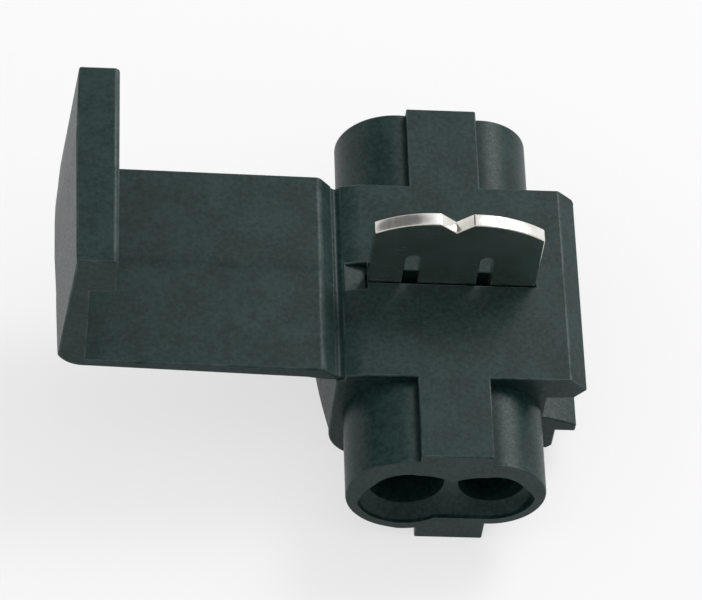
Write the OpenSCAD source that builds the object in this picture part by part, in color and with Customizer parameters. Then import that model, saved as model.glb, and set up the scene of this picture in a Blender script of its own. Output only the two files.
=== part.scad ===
// Quick splice branch connector, open as supplied: two wire channels side by side,
// a lid that folds over on a thin web, and a forked contact standing proud of its slot.
// Millimetres. X across the channels, Y along the wires, Z up.
// Origin: middle of the block, on the surface it stands on.

/* [Block] */
// Length of the block, along the wires
block_len = 14; // [10:0.5:20]
// Height of the block, and of the rib along the top of the tubes
block_h = 8.8; // [6:0.1:14]
// Left wall of the block, from the middle plane
left_x = 6.6; // [5:0.1:10]
// Top left edge, where the hinge web starts
edge_x = 6.16; // [5:0.02:10]
// How far the top sinks toward the hinge
edge_drop = 0.3; // [0.1:0.05:0.6]
// Where that slope starts, from the middle plane
slope_x = 4.9; // [3:0.1:6]
// Radius of the lower left corner
left_corner_r = 2.6; // [0.5:0.1:4]
// Right side wall behind the flange and the catch
side_x = 6; // [5:0.1:8]
// Radius of the back right corner, seen from above
back_corner_r = 0.4; // [0.2:0.05:2]

/* [Hinge shoulder] */
// Bulge of the left wall at mid length
shoulder_rise = 1.1; // [0.4:0.1:2]
// Flat in the middle of the bulge, below its crown
shoulder_flat = 0.1; // [0:0.05:0.4]
// Plain wall left at each end of the bulge
shoulder_inset = 0.05; // [0.05:0.05:2]
// Top of the bulge, below the top of the block
shoulder_drop = 0.8; // [0.7:0.05:2]
// Corner taken off its top edge
shoulder_ease = 0.37; // [0.1:0.01:0.6]

/* [Flange and catch] */
// Right end of the flat top
flange_x = 7.25; // [6:0.05:9]
// Reach of the sloping lead-in past the flat top
flange_lead = 1.07; // [0.5:0.01:2]
// Height of the lead-in
flange_drop = 0.95; // [0.4:0.05:2]
// Slope back under the tip
flange_under = 0.7; // [0.2:0.05:1.5]
// Thickness of the flange
flange_t = 1.85; // [1.7:0.05:3]
// How far the catch stops short of each end of the block
catch_inset = 1; // [0:0.1:3]
// Tip of the catch tooth, from the middle plane
tooth_x = 8.45; // [7.5:0.05:10]
// Where its sloping top starts
tooth_root_z = 3.3; // [2:0.05:5]
// Where that top leaves the wall, from the middle plane
tooth_root_x = 6.6; // [6:0.05:8]
// Top of its blunt tip
tooth_tip_z = 2.6; // [1.5:0.05:4]
// Latching face under it
tooth_low_z = 1.95; // [1:0.05:3]
// Wall below the tooth, from the middle plane
foot_x = 7.25; // [6.5:0.05:8]
// Corner taken off the foot of that wall
foot_cut = 0.3; // [0.1:0.05:1]

/* [Wire channels] */
// Front end of the tubes, from the middle of the block
tube_front = 12.6; // [8:0.1:20]
// Back end of the tubes
tube_back = 12.9; // [8:0.1:20]
// Run channel axis, left of the middle plane
run_x = 2.3; // [1.5:0.05:5]
// Run channel axis height
run_z = 4.56; // [3:0.02:7]
// Outer radius of the run tube
run_tube_r = 3.62; // [2.5:0.02:5]
// Radius of the run bore, right through
run_bore_r = 2.25; // [1:0.05:4]
// Tap channel axis, right of the middle plane
tap_x = 2.77; // [1.5:0.02:5]
// Tap channel axis height
tap_z = 4.77; // [3:0.02:7]
// Outer radius of the tap tube
tap_tube_r = 3.17; // [2:0.02:5]
// Radius of the tap bore, closed at the back
tap_bore_r = 2; // [1:0.05:4]
// Thickness of the tap channel's end wall
tap_end = 1.2; // [0.6:0.1:3]
// Left side of the rib along the top
top_rib_left = 1.86; // [1:0.02:3]
// Right side of the rib along the top
top_rib_right = 2.44; // [1:0.02:4]
// Left side of the rib underneath
low_rib_left = 1.4; // [0.5:0.1:3]
// Right side of the rib underneath
low_rib_right = 2.67; // [1:0.02:4]

/* [Mouth] */
// Depth of the recess in the front end
mouth_depth = 0.95; // [0.3:0.05:3]
// Rim left around it
mouth_rim = 0.6; // [0.4:0.05:1]
// Radius of the two arcs of its hood
hood_r = 3.4; // [2.5:0.05:5]
// Crown of the hood arcs, below the top of the block
hood_drop = 2.05; // [1.5:0.05:4]
// Left hood arc, left of the middle plane
hood_left = 1.74; // [1:0.02:3]
// Right hood arc, right of the middle plane
hood_right = 2.15; // [1:0.05:3]
// How much lower the right arc stands
hood_step = 0.07; // [0:0.01:0.5]
// Sill between the two channels
sill_z = 2.2; // [1:0.1:4]

/* [Contact] */
// Thickness of the contact plate
contact_t = 0.86; // [0.5:0.02:1.5]
// Width of the contact plate
contact_w = 10.1; // [6:0.1:14]
// Middle of the plate, right of the middle plane
contact_x = 0.4; // [-1:0.05:1]
// Middle of the plate, back from the middle of the block
contact_y = 0.2; // [-1:0.01:1]
// Leg tips above the foot of the block, before it is pressed in
contact_z = 6.9; // [4:0.05:8]
// Height of the plate to its two crowns
contact_h = 7.8; // [5:0.05:10]
// Radius of the two crowned shoulders
crown_r = 7; // [4:0.5:20]
// Depth of the notch between them
notch_depth = 0.8; // [0.2:0.05:2]
// Width of the notch, level with the crowns
notch_w = 1.96; // [0.5:0.02:4]
// Notch, left or right of the middle plane
notch_x = 0.15; // [-1:0.05:1]
// Middle of the left crown, left of the notch
crown_left = 1.1; // [0.5:0.1:3]
// Middle of the right crown, right of the notch
crown_right = 1.2; // [0.5:0.1:3]
// Run wire slot
run_slot_w = 0.94; // [0.5:0.02:1.5]
// Tap wire slot
tap_slot_w = 0.83; // [0.5:0.02:1.5]
// Run slot, left of the middle plane
run_slot_x = 2.13; // [1:0.01:4]
// Tap slot, right of the middle plane
tap_slot_x = 2.29; // [1:0.01:4]
// Closed end of the slots above the leg tips
slot_h = 4.6; // [2:0.05:6]
// Lead-in at the foot of each slot
slot_lead = 0.35; // [0.1:0.05:0.8]
// Corner taken off the foot of each outer leg
leg_ease = 0.42; // [0.1:0.02:0.8]
// How far the contact is pressed down when the splice is made
contact_travel = 6; // [3:0.1:8]
// Play around the contact in its slot
contact_play = 0.05; // [0.02:0.01:0.2]
// Room left under the pressed contact
slot_room = 0.15; // [0.05:0.05:0.5]
// Left end of the shallow finger beside the slot
finger_x = 5.9; // [5:0.05:6.5]
// Width of that finger along the wires
finger_w = 1.9; // [1:0.1:4]
// Start of its ramp, below the top of the block
finger_start = 0.36; // [0.3:0.01:1]
// Foot of its ramp, below the top of the block
finger_depth = 0.5; // [0.3:0.05:1.5]

/* [Lid] */
// Right end of the flat plate, from the middle plane
lid_x = 7.28; // [7:0.02:9]
// Foot of its sloping end, where the web leaves it
heel_x = 6.64; // [6.4:0.02:7]
// Top of the plate above the block, at the hinge
lid_lift = 0.58; // [0.2:0.02:2]
// Thickness of the plate at the hinge
lid_t = 1.05; // [0.5:0.05:2]
// Thickness of the plate at the latch
lid_end_t = 0.75; // [0.5:0.05:2]
// Rise of the open plate toward the latch
lid_rise = 0.24; // [0:0.02:1]
// Corner taken off the plate's right end
lid_cut = 0.12; // [0.05:0.01:0.3]
// Inner face of the latch wall, from the middle plane
latch_x = 21.4; // [18:0.05:25]
// Thickness of the latch wall at its top
latch_t = 0.87; // [0.6:0.01:2]
// How far its outer face leans out at the foot
latch_lean = 0.79; // [0:0.01:2]
// Height of the latch wall above the plate
latch_h = 9.68; // [6:0.02:14]
// Ridge of the latch wall's outer face at its foot
latch_crown = 0.42; // [0.1:0.02:1]
// Ridge of the latch wall's outer face at its top
latch_top_crown = 0.14; // [0.02:0.02:1]
// Place of the ridge, back from the middle
crown_y = 1.8; // [-4:0.1:4]
// Where the ridge has run out, back from the middle
crown_end_y = 4.8; // [2:0.1:6]
// Radius of the outer corner at its foot
latch_corner_r = 1.7; // [0.3:0.1:2]
// Reach of the hook
hook_reach = 1.5; // [0.6:0.05:2]
// Height of the hook
hook_h = 2.9; // [1:0.1:4]
// Corner taken off the hook's leading edge
hook_cut = 0.2; // [0.1:0.05:1]
// Line moulded across the plate, back from the middle
groove_y = 0.85; // [-3:0.05:3]
// Width of that line
groove_w = 0.3; // [0.1:0.05:0.6]
// Depth of that line
groove_depth = 0.04; // [0.02:0.01:0.4]
// Plain plate left at the line's latch end
groove_start = 2.2; // [0.5:0.1:5]
// Plain plate left at its hinge end
groove_stop = 1.3; // [0.5:0.1:5]

/* [Hinge web] */
// Thickness of the web
web_t = 0.36; // [0.2:0.02:0.8]
// Web stops short of each end of the block
web_inset = 0.15; // [0:0.05:2]
// Slit that lets the lid turn free of the stiff web
web_gap = 0.03; // [0.01:0.01:0.1]

/* [Hidden] */
$fn = 96;
plastic = [0.19, 0.23, 0.23];
tinned_brass = [0.82, 0.82, 0.80];
half_len = block_len / 2;
tip_x = flange_x + flange_lead;
tip_z = block_h - flange_drop;
flange_low = block_h - flange_t;
shoulder_top = block_h - shoulder_drop;
shoulder_half = half_len - shoulder_inset;
shoulder_r = (shoulder_half * shoulder_half + shoulder_rise * shoulder_rise) / (2 * shoulder_rise);
shoulder_low = left_corner_r + 0.1;
shoulder_x = left_x + shoulder_rise;
shoulder_face = shoulder_x - shoulder_flat;
hood_z = block_h - hood_drop;
contact_left = contact_x - contact_w / 2;
contact_right = contact_x + contact_w / 2;
contact_front = contact_y - contact_t / 2;
contact_back = contact_y + contact_t / 2;
slot_floor = contact_z - contact_travel - slot_room;
web_top = block_h - edge_drop;
web_low = web_top - web_t;
lid_top = block_h + lid_lift;
lid_low = lid_top - lid_t;
latch_foot_z = lid_top + lid_rise;
latch_top = latch_foot_z + latch_h;
latch_top_x = latch_x + latch_t;
latch_foot_x = latch_top_x + latch_lean;
latch_max_x = latch_foot_x + latch_crown;
lid_end_low = latch_foot_z - lid_end_t;
hook_low = latch_top - hook_h;
groove_len = latch_x - lid_x - groove_start - groove_stop;
cut = 1;
slice_t = 0.01;
fine = 180;

// Turns a front view outline, x right and z up, into a solid from y0 to y1
module along_wires(y0, y1) {
  translate([0, y1, 0])
    rotate([90, 0, 0])
      linear_extrude(y1 - y0)
        children();
}

// Round bar along the wires
module rod(x, z, r, y0, y1) {
  translate([x, y1, z])
    rotate([90, 0, 0])
      cylinder(r = r, h = y1 - y0);
}

// What rounding takes off a lower left corner, in a front view
module corner_waste(r) {
  difference() {
    translate([-cut, -cut])
      square(r + cut);
    translate([r, r])
      circle(r);
  }
}

// Block with the lead-in flange along its right edge
module block_outline() {
  difference() {
    polygon([
      [-left_x, 0],
      [side_x, 0],
      [side_x, flange_low],
      [tip_x - flange_under, flange_low],
      [tip_x, tip_z],
      [flange_x, block_h],
      [-slope_x, block_h],
      [-edge_x, web_top],
      [-edge_x, web_low],
      [-left_x, shoulder_top]
    ]);
    translate([-left_x, 0])
      corner_waste(left_corner_r);
  }
}

// Bulge of the left wall under the hinge, crowned in plan
module hinge_shoulder() {
  intersection() {
    translate([shoulder_r - shoulder_x, 0, 0])
      cylinder(r = shoulder_r, h = block_h, $fn = fine);
    along_wires(-half_len, half_len)
      polygon([
        [-left_x + cut, shoulder_low - cut],
        [-shoulder_face, shoulder_low + shoulder_face - left_x],
        [-shoulder_face, shoulder_top - shoulder_ease],
        [-shoulder_face + shoulder_ease, shoulder_top],
        [-left_x + cut, shoulder_top]
      ]);
  }
}

module block() {
  difference() {
    union() {
      along_wires(-half_len, half_len)
        block_outline();
      hinge_shoulder();
    }
    translate([tip_x - back_corner_r, half_len - back_corner_r, 0])
      difference() {
        translate([0, 0, flange_low - cut])
          cube([back_corner_r + cut, back_corner_r + cut, block_h]);
        cylinder(r = back_corner_r, h = 2 * block_h);
      }
  }
}

// Tooth that the lid's hook snaps under, on the wall below the flange
module catch_tooth() {
  along_wires(-half_len + catch_inset, half_len - catch_inset)
    polygon([
      [side_x - cut, 0],
      [foot_x - foot_cut, 0],
      [foot_x, foot_cut],
      [foot_x, tooth_low_z],
      [tooth_x, tooth_low_z],
      [tooth_x, tooth_tip_z],
      [tooth_root_x, tooth_root_z],
      [side_x - cut, tooth_root_z]
    ]);
}

// The two tubes, the web between them and the ribs above and below
module tubes() {
  rod(-run_x, run_z, run_tube_r, -tube_front, tube_back);
  rod(tap_x, tap_z, tap_tube_r, -tube_front, tube_back);
  along_wires(-tube_front, tube_back)
    polygon([
      [-low_rib_left, 0],
      [low_rib_right, 0],
      [low_rib_right, tap_z],
      [top_rib_right, tap_z],
      [top_rib_right, block_h],
      [-top_rib_left, block_h],
      [-top_rib_left, run_z],
      [-low_rib_left, run_z]
    ]);
}

// Recess in the front end, under a hood of two arcs
module mouth_outline() {
  intersection() {
    union() {
      translate([-hood_left, hood_z - hood_r])
        circle(hood_r);
      translate([hood_right, hood_z - hood_r - hood_step])
        circle(hood_r);
    }
    union() {
      translate([-run_x, run_z])
        circle(run_tube_r - mouth_rim);
      translate([tap_x, tap_z])
        circle(tap_tube_r - mouth_rim);
      translate([-low_rib_left, sill_z])
        square([low_rib_left + tap_x, hood_z - sill_z]);
    }
  }
}

// Pocket the contact is pressed into, from the top down through both channels
module contact_slot() {
  translate([
    contact_left - contact_play,
    contact_front - contact_play,
    slot_floor
  ])
    cube([
      contact_w + 2 * contact_play,
      contact_t + 2 * contact_play,
      block_h
    ]);
}

module body() {
  color(plastic)
    difference() {
      union() {
        block();
        catch_tooth();
        tubes();
      }
      rod(-run_x, run_z, run_bore_r, -tube_front - cut, tube_back + cut);
      rod(tap_x, tap_z, tap_bore_r, -tube_front - cut, tube_back - tap_end);
      along_wires(-tube_front - cut, -tube_front + mouth_depth)
        mouth_outline();
      contact_slot();
      // finger of the slot toward the hinge, a ramp
      along_wires(contact_y - finger_w / 2, contact_y + finger_w / 2)
        polygon([
          [-finger_x, block_h - finger_start],
          [contact_left, block_h - finger_depth],
          [contact_left, block_h + cut],
          [-finger_x, block_h + cut]
        ]);
    }
}

// Slot that is open downwards, with a round closed end and a flared foot
module fork_slot(x, w) {
  translate([x, 0]) {
    translate([-w / 2, -cut])
      square([w, slot_h - w / 2 + cut]);
    translate([0, slot_h - w / 2])
      circle(d = w);
    polygon([
      [-w / 2 - slot_lead - cut, -cut],
      [w / 2 + slot_lead + cut, -cut],
      [w / 2, slot_lead],
      [-w / 2, slot_lead]
    ]);
  }
}

// Half of the crowned top, as a slice of a big disc
module crown(x) {
  translate([x, contact_h - crown_r])
    circle(crown_r, $fn = fine);
}

module contact_outline() {
  difference() {
    intersection() {
      translate([contact_left, 0])
        square([contact_w, contact_h + cut]);
      union() {
        crown(notch_x - crown_left);
        crown(notch_x + crown_right);
        translate([contact_left, 0])
          square([contact_w, contact_h / 2]);
      }
    }
    fork_slot(-run_slot_x, run_slot_w);
    fork_slot(tap_slot_x, tap_slot_w);
    polygon([
      [notch_x, contact_h - notch_depth],
      [notch_x + notch_w, contact_h + notch_depth],
      [notch_x - notch_w, contact_h + notch_depth]
    ]);
    // outer corners of the legs, eased for the slot
    for (x = [contact_left, contact_right])
      translate([x, 0])
        circle(leg_ease, $fn = 4);
  }
}

module contact() {
  color(tinned_brass)
    translate([0, 0, contact_z])
      along_wires(contact_front, contact_back)
        contact_outline();
}

// Plate, latch wall and hook of the open lid in one outline
module lid_outline() {
  difference() {
    polygon([
      [-heel_x, web_low],
      [-heel_x, web_top],
      [-lid_x, lid_top - lid_cut],
      [-lid_x - lid_cut, lid_top],
      [-latch_x, latch_foot_z],
      [-latch_x, hook_low],
      [-latch_x + hook_reach, hook_low],
      [-latch_x + hook_reach, latch_top - hook_cut],
      [-latch_x + hook_reach - hook_cut, latch_top],
      [-latch_max_x, latch_top],
      [-latch_max_x, lid_end_low],
      [-latch_x, lid_end_low],
      [-lid_x - lid_t, lid_low],
      [-lid_x, web_low]
    ]);
    translate([-latch_foot_x - latch_top_crown, lid_end_low])
      corner_waste(latch_corner_r);
  }
}

// Slice through the lid at height z, right of the latch wall's outer face,
// which leans out and rises to a ridge toward its foot
module lid_slice(z) {
  down = (latch_top - z) / latch_h;
  x = latch_top_x + latch_lean * down;
  ridge = latch_top_crown + (latch_crown - latch_top_crown) * down;
  translate([0, 0, z])
    linear_extrude(slice_t)
      polygon([
        [-x, -half_len],
        [cut, -half_len],
        [cut, half_len],
        [-x, half_len],
        [-x, crown_end_y],
        [-x - ridge, crown_y]
      ]);
}

module lid() {
  color(plastic)
    difference() {
      intersection() {
        along_wires(-half_len, half_len)
          lid_outline();
        hull() {
          lid_slice(latch_top + cut);
          lid_slice(web_low - cut);
        }
      }
      // moulded line, as steep as the plate
      translate([-latch_x + groove_start, groove_y - groove_w / 2, 0])
        translate([0, 0, latch_foot_z - groove_depth])
          rotate([0, atan(lid_rise / (latch_x - lid_x)), 0])
            cube([groove_len, groove_w, cut]);
    }
}

// Thin strip that bends as the lid folds
module lid_hinge() {
  color(plastic)
    along_wires(-half_len + web_inset, half_len - web_inset)
      translate([-heel_x + web_gap, web_low])
        square([heel_x - web_gap - edge_x, web_t]);
}

body();
lid();
lid_hinge();
contact();
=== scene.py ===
import math

import bmesh
import bpy
from mathutils import Matrix, Vector
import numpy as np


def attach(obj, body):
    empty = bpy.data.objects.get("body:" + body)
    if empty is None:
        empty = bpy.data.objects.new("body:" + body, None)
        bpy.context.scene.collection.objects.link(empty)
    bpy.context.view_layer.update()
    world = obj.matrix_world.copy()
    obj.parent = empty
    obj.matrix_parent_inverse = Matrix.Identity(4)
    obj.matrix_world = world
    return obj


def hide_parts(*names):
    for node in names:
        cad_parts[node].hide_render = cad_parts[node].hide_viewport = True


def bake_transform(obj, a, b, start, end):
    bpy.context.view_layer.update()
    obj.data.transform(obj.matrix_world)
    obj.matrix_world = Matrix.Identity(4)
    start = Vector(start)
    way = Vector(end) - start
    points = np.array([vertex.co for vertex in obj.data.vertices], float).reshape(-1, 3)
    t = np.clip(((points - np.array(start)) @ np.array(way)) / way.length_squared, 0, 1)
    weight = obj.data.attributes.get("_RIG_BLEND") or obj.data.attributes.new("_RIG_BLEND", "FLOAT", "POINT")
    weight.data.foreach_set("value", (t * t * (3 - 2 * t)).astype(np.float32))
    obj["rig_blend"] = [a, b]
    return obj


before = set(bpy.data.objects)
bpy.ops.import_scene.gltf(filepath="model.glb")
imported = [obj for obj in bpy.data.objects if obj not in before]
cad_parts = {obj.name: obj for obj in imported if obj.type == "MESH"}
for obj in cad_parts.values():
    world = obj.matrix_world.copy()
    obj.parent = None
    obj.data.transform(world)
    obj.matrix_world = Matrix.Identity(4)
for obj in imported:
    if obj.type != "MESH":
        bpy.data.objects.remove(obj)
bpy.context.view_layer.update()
print("frame loaded:", ", ".join(sorted(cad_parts)))

mm = 0.001  # the scene is in metres, the pieces are thought out in millimetres
nearly = 0.02  # mm, how closely a corner's place is tested
weld = 0.004  # mm, corners closer than this become one

# the camera stands where the photographer's did
cameraSet = {
    "target": (-5.41, 0.0, 6.47),  # mm, the point it looks at
    "distance": 245.0,  # mm
    "azimuth": -9.06,  # degrees, 0 looks along the wires from the mouth end
    "elevation": 54.35,
    "roll": 9.13,  # it was held a little tilted
    "lens": 208.98,
    "sensor": 36,  # mm
    "clip": (0.01, 20),  # metres
}


def makeCamera(s):
    az = math.radians(s["azimuth"])
    el = math.radians(s["elevation"])
    back = Vector((math.sin(az) * math.cos(el), -math.cos(az) * math.cos(el), math.sin(el)))
    data = bpy.data.cameras.new("camera")
    data.lens = s["lens"]
    data.sensor_width = s["sensor"]
    data.clip_start, data.clip_end = s["clip"]
    camera = bpy.data.objects.new("camera", data)
    bpy.context.collection.objects.link(camera)
    stand = Matrix.Translation((Vector(s["target"]) + back * s["distance"]) * mm)
    turn = back.to_track_quat("Z", "Y").to_matrix().to_4x4()
    roll = Matrix.Rotation(math.radians(s["roll"]), 4, "Z")
    camera.matrix_world = stand @ turn @ roll
    bpy.context.scene.camera = camera


makeCamera(cameraSet)
print("camera placed")


# small helpers for the shader nodes
def link(tree, value, socket):
    if isinstance(value, (int, float)):
        socket.default_value = value
    elif isinstance(value, tuple):
        socket.default_value = value + (1,) if len(socket.default_value) == 4 else value
    else:
        tree.links.new(value, socket)


def mixColour(tree, mask, first, second):
    node = tree.nodes.new("ShaderNodeMix")
    node.data_type = "RGBA"
    link(tree, mask, node.inputs[0])
    link(tree, first, node.inputs[6])
    link(tree, second, node.inputs[7])
    return node.outputs[2]


# carries the span between two values onto another span, and stops at its ends
def remap(tree, value, span, onto=(0.0, 1.0)):
    node = tree.nodes.new("ShaderNodeMapRange")
    link(tree, value, node.inputs["Value"])
    link(tree, span[0], node.inputs["From Min"])
    link(tree, span[1], node.inputs["From Max"])
    link(tree, onto[0], node.inputs["To Min"])
    link(tree, onto[1], node.inputs["To Max"])
    return node.outputs["Result"]


def combine(tree, operation, first, second):
    node = tree.nodes.new("ShaderNodeMath")
    node.operation = operation
    link(tree, first, node.inputs[0])
    link(tree, second, node.inputs[1])
    return node.outputs[0]


# the two values together, each by its share
def blendOf(tree, first, firstShare, second, secondShare):
    first = combine(tree, "MULTIPLY", first, firstShare)
    second = combine(tree, "MULTIPLY", second, secondShare)
    return combine(tree, "ADD", first, second)


def noise(tree, vector, scale=1.0, detail=2.0, roughness=0.5):
    node = tree.nodes.new("ShaderNodeTexNoise")
    link(tree, vector, node.inputs["Vector"])
    link(tree, scale, node.inputs["Scale"])
    link(tree, detail, node.inputs["Detail"])
    link(tree, roughness, node.inputs["Roughness"])
    return node.outputs["Fac"]


def stretched(tree, vector, stretch, turn=(0, 0, 0)):
    node = tree.nodes.new("ShaderNodeMapping")
    link(tree, vector, node.inputs["Vector"])
    node.inputs["Rotation"].default_value = turn
    node.inputs["Scale"].default_value = stretch
    return node.outputs["Vector"]


def addBump(tree, shader, height, strength, distance):
    bump = tree.nodes.new("ShaderNodeBump")
    bump.inputs["Strength"].default_value = strength
    bump.inputs["Distance"].default_value = distance
    link(tree, height, bump.inputs["Height"])
    link(tree, bump.outputs["Normal"], shader.inputs["Normal"])


def newGroup(name, inputs, outputs):
    group = bpy.data.node_groups.new(name, "ShaderNodeTree")
    for label, kind, value in inputs:
        socket = group.interface.new_socket(label, in_out="INPUT", socket_type=kind)
        if value is not None:
            socket.default_value = value
    for label, kind in outputs:
        group.interface.new_socket(label, in_out="OUTPUT", socket_type=kind)
    start = group.nodes.new("NodeGroupInput")
    end = group.nodes.new("NodeGroupOutput")
    return group, start.outputs, end.inputs


edgeWearAndHighlightSet = {
    "mask": "roundedEdge",  # the pieces carry it on the faces of their rounds
    "patches": (0.38, 0.62),  # where in the noise a patch of wear starts and is full
}


# light rubbing along the rounded edges, and on the plastic also a painted highlight along them: strong where
# the edge mask and a broken noise meet
def makeEdgeWearAndHighlight(s):
    group, given, out = newGroup(
        "edge wear and painted highlight",
        [
            ("Vector", "NodeSocketVector", None),
            ("Patch Scale", "NodeSocketFloat", 300.0),
            ("Amount", "NodeSocketFloat", 0.5),
        ],
        [("Wear And Highlight", "NodeSocketFloat")],
    )
    edge = group.nodes.new("ShaderNodeAttribute")
    edge.attribute_name = s["mask"]
    patches = noise(group, given["Vector"], given["Patch Scale"], detail=5.0, roughness=0.65)
    patches = remap(group, patches, s["patches"])
    wornAndHighlight = combine(group, "MULTIPLY", edge.outputs["Fac"], patches)
    link(group, combine(group, "MULTIPLY", wornAndHighlight, given["Amount"]), out["Wear And Highlight"])
    return group


grainSet = {
    "grainShare": 0.35,  # of the height, beside the waves
    "waveShare": 1.0,
    "scratchDepth": 0.25,
    "scratchTurn": (0.3, 0.2, 0.7),  # radians, they run aslant
    "scratchStretch": (300, 2600, 2600),
    "scratches": (0.70, 0.76),  # only the peaks of the noise are scratches
}


# fine surface texture: soft waviness, close grain and a few thin scratches, as a height and two masks
def makeSurfaceGrain(s):
    group, given, out = newGroup(
        "surface grain",
        [
            ("Vector", "NodeSocketVector", None),
            ("Grain Scale", "NodeSocketFloat", 4000.0),
            ("Wave Scale", "NodeSocketFloat", 250.0),
            ("Scratch Amount", "NodeSocketFloat", 0.5),
        ],
        [("Height", "NodeSocketFloat"), ("Grain", "NodeSocketFloat"), ("Scratches", "NodeSocketFloat")],
    )
    grain = noise(group, given["Vector"], given["Grain Scale"], detail=3.0, roughness=0.6)
    waves = noise(group, given["Vector"], given["Wave Scale"], detail=1.0)
    aslant = stretched(group, given["Vector"], s["scratchStretch"], s["scratchTurn"])
    scratches = remap(group, noise(group, aslant, roughness=0.4), s["scratches"])
    scratches = combine(group, "MULTIPLY", scratches, given["Scratch Amount"])
    height = blendOf(group, grain, s["grainShare"], waves, s["waveShare"])
    height = combine(group, "SUBTRACT", height, combine(group, "MULTIPLY", scratches, s["scratchDepth"]))
    link(group, height, out["Height"])
    link(group, grain, out["Grain"])
    link(group, scratches, out["Scratches"])
    return group


edgeWearAndHighlight = makeEdgeWearAndHighlight(edgeWearAndHighlightSet)
surfaceGrain = makeSurfaceGrain(grainSet)


# puts a group into a material with that material's own values
def place(tree, group, values):
    node = tree.nodes.new("ShaderNodeGroup")
    node.node_tree = group
    for name, value in values.items():
        link(tree, value, node.inputs[name])
    return node.outputs


def placeEffects(tree, where, s):
    grain = place(tree, surfaceGrain, {
        "Vector": where,
        "Grain Scale": s["grainScale"],
        "Wave Scale": s["waveScale"],
        "Scratch Amount": s["scratchAmount"],
    })
    wearAndHighlight = place(tree, edgeWearAndHighlight, {
        "Vector": where,
        "Patch Scale": s["patchScale"],
        "Amount": s["wearAndHighlightAmount"],
    })
    return grain, wearAndHighlight


def startMaterial(name):
    material = bpy.data.materials.new(name)
    material.use_nodes = True
    tree = material.node_tree
    shader = tree.nodes["Principled BSDF"]
    where = tree.nodes.new("ShaderNodeTexCoord").outputs["Object"]
    return material, tree, shader, where


# dark green-grey polypropylene, straight from a spark-finished mould
plasticSet = {
    "deep": (0.0030, 0.0170, 0.0150),
    "pale": (0.0125, 0.0335, 0.0305),
    # paler colour of rubbed edges and scratches; on the rounds it is partly a painted highlight
    "wornAndHighlight": (0.050, 0.080, 0.076),
    "cloudScale": 420.0,  # per metre, so clouds a couple of millimetres wide
    "cloudShare": 0.45,
    "speckScale": 3400.0,
    "speckShare": 0.55,
    "mottle": (0.40, 0.60),  # where in the clouds and specks it is deep and pale
    "grainScale": 6500.0,
    "waveScale": 230.0,
    "scratchAmount": 0.35,
    "scratchWear": 0.5,  # how much of the worn colour a scratch shows
    "patchScale": 500.0,
    "wearAndHighlightAmount": 0.7,
    "grainSpan": (0.3, 0.7),
    "roughness": (0.34, 0.50),
    "ior": 1.49,
    "specular": 0.22,
    "bump": 0.05,
    "bumpDepth": 0.0004,  # metres
}


def makePlastic(s):
    material, tree, shader, where = startMaterial("dark moulded polypropylene")
    clouds = noise(tree, where, s["cloudScale"], detail=4.0, roughness=0.6)
    specks = noise(tree, where, s["speckScale"], roughness=0.6)
    mottled = blendOf(tree, clouds, s["cloudShare"], specks, s["speckShare"])
    colour = mixColour(tree, remap(tree, mottled, s["mottle"]), s["deep"], s["pale"])
    grain, wearAndHighlight = placeEffects(tree, where, s)
    scratched = combine(tree, "MULTIPLY", grain["Scratches"], s["scratchWear"])
    marked = combine(tree, "MAXIMUM", wearAndHighlight["Wear And Highlight"], scratched)
    # rubbed rounds and scratches take the paler colour; on the rounds it is also a painted highlight
    link(tree, mixColour(tree, marked, colour, s["wornAndHighlight"]), shader.inputs["Base Color"])
    rough = remap(tree, grain["Grain"], s["grainSpan"], s["roughness"])
    link(tree, rough, shader.inputs["Roughness"])
    addBump(tree, shader, grain["Height"], s["bump"], s["bumpDepth"])
    shader.inputs["IOR"].default_value = s["ior"]
    shader.inputs["Specular IOR Level"].default_value = s["specular"]
    return material


# bright tin over stamped brass, with the streaks of the rolled strip
tinSet = {
    "clean": (0.84, 0.83, 0.80),
    "dull": (0.70, 0.68, 0.63),
    "brass": (0.55, 0.44, 0.25),  # it comes through where the edges are worn
    "cloudScale": 600.0,
    "clouds": (0.35, 0.7),  # where in the noise it is clean and dull
    "rolledStretch": (600, 600, 9000),
    "rolledSpan": (0.3, 0.9),
    "grainScale": 5000.0,
    "waveScale": 500.0,
    "scratchAmount": 0.0,
    "patchScale": 900.0,
    "wearAndHighlightAmount": 0.35,
    "roughness": (0.18, 0.32),
    "bump": 0.02,
    "bumpDepth": 0.0002,  # metres
}


def makeTin(s):
    material, tree, shader, where = startMaterial("tin plated brass")
    clouds = noise(tree, where, s["cloudScale"], detail=4.0, roughness=0.6)
    clouds = remap(tree, clouds, s["clouds"])
    rolled = noise(tree, stretched(tree, where, s["rolledStretch"]), detail=3.0, roughness=0.6)
    colour = mixColour(tree, clouds, s["clean"], s["dull"])
    grain, wearAndHighlight = placeEffects(tree, where, s)
    link(tree, mixColour(tree, wearAndHighlight["Wear And Highlight"], colour, s["brass"]), shader.inputs["Base Color"])
    streaks = combine(tree, "ADD", rolled, grain["Scratches"])
    rough = remap(tree, streaks, s["rolledSpan"], s["roughness"])
    link(tree, rough, shader.inputs["Roughness"])
    addBump(tree, shader, grain["Height"], s["bump"], s["bumpDepth"])
    shader.inputs["Metallic"].default_value = 1.0
    return material


plastic = makePlastic(plasticSet)
tin = makeTin(tinSet)
print("materials made")

# how every piece is taken from its CAD node and finished
pieceSet = {
    "flat": 0.4,  # degrees, faces that turn less than this become one
    "sharp": 38,  # degrees, edges that turn more than this are a hard line in the shading
}


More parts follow.
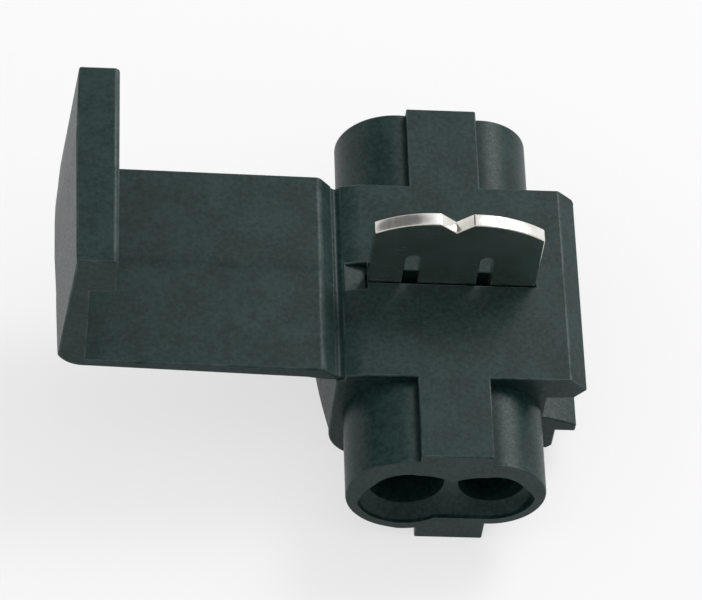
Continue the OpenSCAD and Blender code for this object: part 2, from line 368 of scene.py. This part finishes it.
# a CAD node's solid as a clean closed mesh, in millimetres
def startFromNode(name, s=pieceSet):
    mesh = bmesh.new()
    mesh.from_mesh(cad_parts[name].data)
    mesh.faces.layers.float.new(edgeWearAndHighlightSet["mask"])
    bmesh.ops.scale(mesh, vec=(1 / mm, 1 / mm, 1 / mm), verts=mesh.verts)
    bmesh.ops.remove_doubles(mesh, verts=mesh.verts, dist=weld)
    bmesh.ops.dissolve_limit(
        mesh, verts=mesh.verts, edges=mesh.edges,
        angle_limit=math.radians(s["flat"]), use_dissolve_boundaries=False
    )
    return mesh


# rounds these edges, and remembers the new faces for the edge wear and the painted edge highlight
def roundOff(mesh, edges, radius, segments):
    made = bmesh.ops.bevel(
        mesh, geom=edges, offset=radius, offset_type="OFFSET", segments=segments,
        profile=0.5, affect="EDGES", clamp_overlap=False, loop_slide=True, material=-1
    )
    mask = mesh.faces.layers.float[edgeWearAndHighlightSet["mask"]]
    for face in made["faces"]:
        face[mask] = 1.0


# rounds every edge that turns outward by more than the piece's limit, but not those left crisp
def roundEdges(mesh, s, crisp=()):
    turn = math.radians(s["limit"])
    turned = [e for e in mesh.edges if e.is_convex and e.calc_face_angle(0.0) > turn]
    roundOff(mesh, [e for e in turned if e not in crisp], s["edgeRadius"], s["segments"])


def finishPiece(mesh, name, material, node, body=None, s=pieceSet):
    for face in mesh.faces:
        face.smooth = True
    for edge in mesh.edges:
        edge.smooth = edge.calc_face_angle(0.0) < math.radians(s["sharp"])
    bmesh.ops.scale(mesh, vec=(mm, mm, mm), verts=mesh.verts)
    data = bpy.data.meshes.new(name)
    mesh.to_mesh(data)
    mesh.free()
    if "custom_normal" in data.attributes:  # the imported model's own normals no longer fit
        data.attributes.remove(data.attributes["custom_normal"])
    data.materials.append(material)
    piece = bpy.data.objects.new(name, data)
    bpy.context.collection.objects.link(piece)
    weighted = piece.modifiers.new("even shading", "WEIGHTED_NORMAL")
    weighted.mode = "FACE_AREA"
    weighted.keep_sharp = True
    if body:
        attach(piece, body)
    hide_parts(node)
    print(name, "made,", len(data.polygons), "faces")
    return piece


# places and sizes in millimetres, turns in degrees
housingSet = {
    "edgeRadius": 0.1,
    "segments": 3,
    "limit": 24,
    "cornerAxis": (7.92, 6.6),  # x, y of the flange's rounded back corner
    "cornerRadius": 0.4,
    "cornerFrom": 8.21,  # past this x its rim is too thin for a round on both sides
    "cornerStep": 20,  # between the rim's corners there
    "tipHeight": 7.85,
    "rimFrom": (8.1, 6.59, 7.0),  # and past this it stays crisp
    "shoulderEnd": (-7.2, 3.8, 7.8),  # past this the chamfer on the hinge's shoulder runs out
    "uprightAt": (6.0, 7.0),  # the tube comes too close to these corners of the block for a round
    "underFlange": 7.0,  # height
    "mouthBack": -11.6,  # the hood and the bores cross here, so their edges stay crisp
    "mouthAxes": ((-2.3, 4.56, 3.1), (2.77, 4.77, 2.7)),  # x, z and reach of the two openings
    "sillReach": 3,  # to both sides of the middle
    "sillFoot": 0.5,
    "sillTop": 2.3,
    "sillLength": 0.6,  # its edges longer than this are cut up, for an even slope
    "sillCuts": 9,
    "recessFloor": -11.65,
    "boreAxes": ((-2.3, 4.56, 2.35), (2.77, 4.77, 2.1)),  # x, z and a reach just past the bores
    "funnelTop": 4.4,  # below this the recess runs forward into a funnel
    "funnelFull": 2.6,  # and from here down it runs the whole reach
    "funnelReach": 0.72,
}


# true for a corner within reach of one of the axes, which run along the wires
def nearAxis(vert, axes):
    return any(math.hypot(vert.co.x - x, vert.co.z - z) < reach for x, z, reach in axes)


# true for an edge inside the recess of the mouth
def inMouth(edge, s):
    for v in edge.verts:
        onSill = abs(v.co.x) < s["sillReach"] and s["sillFoot"] < v.co.z < s["sillTop"]
        if v.co.y > s["mouthBack"] or not (onSill or nearAxis(v, s["mouthAxes"])):
            return False
    return True


# true for the upright corners of the block beside the tube
def isUpright(edge, s):
    x, y = s["uprightAt"]
    for v in edge.verts:
        atCorner = abs(v.co.x - x) < nearly and abs(abs(v.co.y) - y) < nearly
        if not atCorner or v.co.z >= s["underFlange"]:
            return False
    return True


# true where the flange's rim, or the chamfer on the hinge's shoulder, gets too narrow for a round
def runsOut(edge, s):
    if all(a > b for v in edge.verts for a, b in zip(v.co, s["rimFrom"])):
        return True
    x, y, z = s["shoulderEnd"]
    oneSide = edge.verts[0].co.y * edge.verts[1].co.y > 0
    return oneSide and all(v.co.x < x and abs(v.co.y) > y and v.co.z > z for v in edge.verts)


# brings the thin end of the flange's rounded corner down to a single edge
def closeTip(mesh, s):
    x, y = s["cornerAxis"]
    rim = [v for v in mesh.verts if v.co.x > s["cornerFrom"] and v.co.y > y - nearly]
    rim = [v for v in rim if v.co.z > s["underFlange"]]
    for v in rim:
        step = round(math.degrees(math.atan2(v.co.y - y, v.co.x - x)) / s["cornerStep"])
        turn = math.radians(step * s["cornerStep"])
        v.co.x = x + s["cornerRadius"] * math.cos(turn)
        v.co.y = y + s["cornerRadius"] * math.sin(turn)
        v.co.z = s["tipHeight"]
    bmesh.ops.remove_doubles(mesh, verts=rim, dist=weld)


# slopes the foot of the recess forward, from the bores out to the rim
def openFunnel(mesh, s):
    def onFloor(part):
        return all(abs(v.co.y - s["recessFloor"]) < nearly for v in part.verts)

    sill = [e for e in mesh.edges if onFloor(e) and e.calc_length() > s["sillLength"]]
    sill = [e for e in sill if max(v.co.z for v in e.verts) < s["sillTop"]]
    bmesh.ops.subdivide_edges(mesh, edges=sill, cuts=s["sillCuts"])
    bmesh.ops.triangulate(mesh, faces=[f for f in mesh.faces if onFloor(f)])
    for v in mesh.verts:
        low = abs(v.co.y - s["recessFloor"]) < nearly and v.co.z < s["funnelTop"]
        if low and not nearAxis(v, s["boreAxes"]):
            share = min(1, (s["funnelTop"] - v.co.z) / (s["funnelTop"] - s["funnelFull"]))
            v.co.y -= s["funnelReach"] * share


def makeHousing(s):
    mesh = startFromNode("body")
    closeTip(mesh, s)
    openFunnel(mesh, s)
    crisp = [e for e in mesh.edges if inMouth(e, s) or isUpright(e, s) or runsOut(e, s)]
    roundEdges(mesh, s, crisp)
    return finishPiece(mesh, "tap_housing", plastic, node="body", body="housing")


lidSet = {
    "edgeRadius": 0.12,
    "segments": 3,
    "limit": 35,
    "plateFrom": (-21.6, 9.2),  # x and z that hold the plate's upper face
    "plateTo": (-7.2, 9.8),
    "upward": 0.9,  # the height of a face's normal from which it counts as the upper face
    "hingeEdge": (-7.4, 9.38),  # x and z of the plate's well rounded edge over the hinge
    "hingeChamfer": 0.2,  # the small chamfer beyond it is narrower than this
    "hingeRadius": 0.22,
    "hingeSegments": 6,
    "plateSlope": 0.01714,  # it rises this much toward the latch
    "sink": ((0.70, 0.0), (0.30, 0.15), (-0.40, 0.19), (-1.60, 0.20)),  # y, and how far down
    "sinkDepth": 0.4,  # how deep below the upper face the step reaches
}


# makes the plate's upper face one plain face, because the step takes the moulded line's place
def clearPlate(mesh, s):
    (xFrom, zFrom), (xTo, zTo) = s["plateFrom"], s["plateTo"]
    plate = [v for v in mesh.verts if xFrom < v.co.x < xTo and zFrom < v.co.z < zTo]
    upper = [f for f in mesh.faces if f.normal.z > s["upward"] and all(v in plate for v in f.verts)]
    bmesh.ops.delete(mesh, geom=upper, context="FACES")
    bmesh.ops.holes_fill(mesh, edges=[e for e in mesh.edges if e.is_boundary])
    bmesh.ops.recalc_face_normals(mesh, faces=mesh.faces)


# the plate's corners between these two distances past its edge over the hinge
def pastHingeEdge(mesh, s, start, end):
    high = [v for v in mesh.verts if v.co.z > s["plateFrom"][1]]
    return [v for v in high if start < v.co.x - s["hingeEdge"][0] < end]


# closes the small chamfer over the hinge, so that the edge there can take its wide round
def roundHingeEdge(mesh, s):
    edgeLine = pastHingeEdge(mesh, s, -nearly, nearly)
    chamfer = pastHingeEdge(mesh, s, nearly, s["hingeChamfer"])
    for v in chamfer:
        v.co = min(edgeLine, key=lambda near: (near.co - v.co).length).co
    bmesh.ops.remove_doubles(mesh, verts=edgeLine + chamfer, dist=weld)
    edgeLine = pastHingeEdge(mesh, s, -nearly, nearly)
    edges = [e for e in mesh.edges if all(v in edgeLine for v in e.verts)]
    roundOff(mesh, edges, s["hingeRadius"], s["hingeSegments"])


# steps the upper face of the plate down in front of a line across it
def sinkPlate(mesh, s):
    for y, drop in s["sink"]:
        bmesh.ops.bisect_plane(
            mesh, geom=mesh.verts[:] + mesh.edges[:] + mesh.faces[:],
            plane_co=(0, y, 0), plane_no=(0, 1, 0), dist=weld
        )
    edgeX, edgeZ = s["hingeEdge"]
    for v in mesh.verts:
        depth = edgeZ + (edgeX - v.co.x) * s["plateSlope"] - v.co.z
        drops = [drop for y, drop in s["sink"] if v.co.y < y + nearly]
        if v.co.x > s["plateFrom"][0] and -nearly < depth < s["sinkDepth"] and drops:
            v.co.z -= drops[-1]


def makeLid(s):
    mesh = startFromNode("lid")
    clearPlate(mesh, s)
    roundHingeEdge(mesh, s)
    roundEdges(mesh, s)
    sinkPlate(mesh, s)
    return finishPiece(mesh, "latch_lid", plastic, node="lid", body="lid")


contactSet = {"edgeRadius": 0.06, "segments": 3, "limit": 24}


def makeContact(s):
    mesh = startFromNode("contact")
    roundEdges(mesh, s)
    return finishPiece(mesh, "splice_contact", tin, node="contact", body="contact")


# the thin web bends with the lid, so it is its own strip, let a little into both sides
webSet = {
    "left": -6.80,
    "right": -6.02,
    "low": 8.16,
    "high": 8.48,
    "halfLength": 6.85,
    "slices": 18,
    "sag": 0.13,  # it is a shallow trough between lid and block
    "bendStart": (-6.16, 0, 8.32),
    "bendEnd": (-6.64, 0, 8.32),
}


def makeWeb(s):
    mesh = bmesh.new()
    bmesh.ops.create_cube(mesh, size=1)
    size = (s["right"] - s["left"], 2 * s["halfLength"], s["high"] - s["low"])
    centre = ((s["left"] + s["right"]) / 2, 0, (s["low"] + s["high"]) / 2)
    bmesh.ops.scale(mesh, vec=size, verts=mesh.verts)
    bmesh.ops.translate(mesh, vec=centre, verts=mesh.verts)
    across = [e for e in mesh.edges if abs(e.verts[0].co.x - e.verts[1].co.x) > nearly]
    bmesh.ops.subdivide_edges(mesh, edges=across, cuts=s["slices"], use_grid_fill=True)
    left, right = s["bendEnd"][0], s["bendStart"][0]
    for v in mesh.verts:
        along = (v.co.x - left) / (right - left)
        if 0 < along < 1:
            v.co.z -= s["sag"] * math.sin(math.pi * along)
    web = finishPiece(mesh, "hinge_web", plastic, node="lid_hinge")
    start = tuple(v * mm for v in s["bendStart"])
    end = tuple(v * mm for v in s["bendEnd"])
    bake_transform(web, "housing", "lid", start=start, end=end)
    return web


makeHousing(housingSet)
makeLid(lidSet)
makeContact(contactSet)
makeWeb(webSet)

# soft daylight from behind on the right, a pale table and a white surround, in metres
studioSet = {
    "keyFrom": (0.47, 0.52, 0.70),
    "keyDistance": 0.6,
    "keySize": 0.26,
    "keyPower": 1.85,
    "horizon": 1.0,  # white walls all round, low down
    "ceiling": 0.95,
    "wallTop": (0.12, 0.50),  # where the walls give way to the ceiling, as the height of a direction
    "gapToward": (-0.42, 0.55, 0.72),  # a dim gap in it behind on the left
    "gapEdge": (0.89, 0.94),
    "gapStrength": 0.16,
    "frontEdge": (-0.9, -0.2),  # whoever takes the picture stands in front and takes light away
    "frontShade": 0.32,
    "tableColour": (0.80, 0.80, 0.80),
    "tableWhite": 0.66,  # share of plain white that the eye and a mirror see on the table
    "tableSize": 4.0,
}


# one where a surface is seen, straight on, in a reflection or through glass, zero where it lights
def lightMask(tree):
    path = tree.nodes.new("ShaderNodeLightPath").outputs
    seen = combine(tree, "MAXIMUM", path["Is Camera Ray"], path["Is Glossy Ray"])
    return combine(tree, "MAXIMUM", seen, path["Is Transmission Ray"])


def makeSurround(s):
    world = bpy.data.worlds.new("white surround")
    bpy.context.scene.world = world
    world.use_nodes = True
    tree = world.node_tree
    background = tree.nodes["Background"]
    background.inputs["Color"].default_value = (1, 1, 1, 1)
    toward = tree.nodes.new("ShaderNodeTexCoord").outputs["Generated"]
    parts = tree.nodes.new("ShaderNodeSeparateXYZ")
    link(tree, toward, parts.inputs[0])
    walls = remap(tree, parts.outputs["Z"], s["wallTop"], (s["horizon"], s["ceiling"]))
    gap = tree.nodes.new("ShaderNodeVectorMath")
    gap.operation = "DOT_PRODUCT"
    link(tree, toward, gap.inputs[0])
    gap.inputs[1].default_value = Vector(s["gapToward"]).normalized()
    strength = remap(tree, gap.outputs["Value"], s["gapEdge"], (walls, s["gapStrength"]))
    front = remap(tree, parts.outputs["Y"], s["frontEdge"], (s["frontShade"], 1.0))
    strength = combine(tree, "MULTIPLY", strength, front)
    link(tree, strength, background.inputs["Strength"])


def makeTable(s):
    mesh = bmesh.new()
    bmesh.ops.create_grid(mesh, x_segments=1, y_segments=1, size=s["tableSize"] / 2)
    data = bpy.data.meshes.new("table")
    mesh.to_mesh(data)
    mesh.free()
    table = bpy.data.objects.new("table", data)
    bpy.context.collection.objects.link(table)
    material = bpy.data.materials.new("pale table")
    material.use_nodes = True
    tree = material.node_tree
    tree.nodes.remove(tree.nodes["Principled BSDF"])
    matt = tree.nodes.new("ShaderNodeBsdfDiffuse")
    matt.inputs["Color"].default_value = s["tableColour"] + (1,)
    glow = tree.nodes.new("ShaderNodeEmission")
    glow.inputs["Strength"].default_value = 1.0
    mix = tree.nodes.new("ShaderNodeMixShader")
    link(tree, combine(tree, "MULTIPLY", lightMask(tree), s["tableWhite"]), mix.inputs[0])
    link(tree, matt.outputs[0], mix.inputs[1])
    link(tree, glow.outputs[0], mix.inputs[2])
    link(tree, mix.outputs[0], tree.nodes["Material Output"].inputs["Surface"])
    data.materials.append(material)


def makeKey(s):
    data = bpy.data.lights.new("window light", "AREA")
    data.shape = "SQUARE"
    data.size = s["keySize"]
    data.energy = s["keyPower"]
    lamp = bpy.data.objects.new("window light", data)
    bpy.context.collection.objects.link(lamp)
    away = Vector(s["keyFrom"]).normalized()
    turn = away.to_track_quat("Z", "Y").to_matrix().to_4x4()
    lamp.matrix_world = Matrix.Translation(away * s["keyDistance"]) @ turn


makeSurround(studioSet)
makeTable(studioSet)
makeKey(studioSet)

view = bpy.context.scene.view_settings
view.view_transform = "Standard"
print("studio lit")
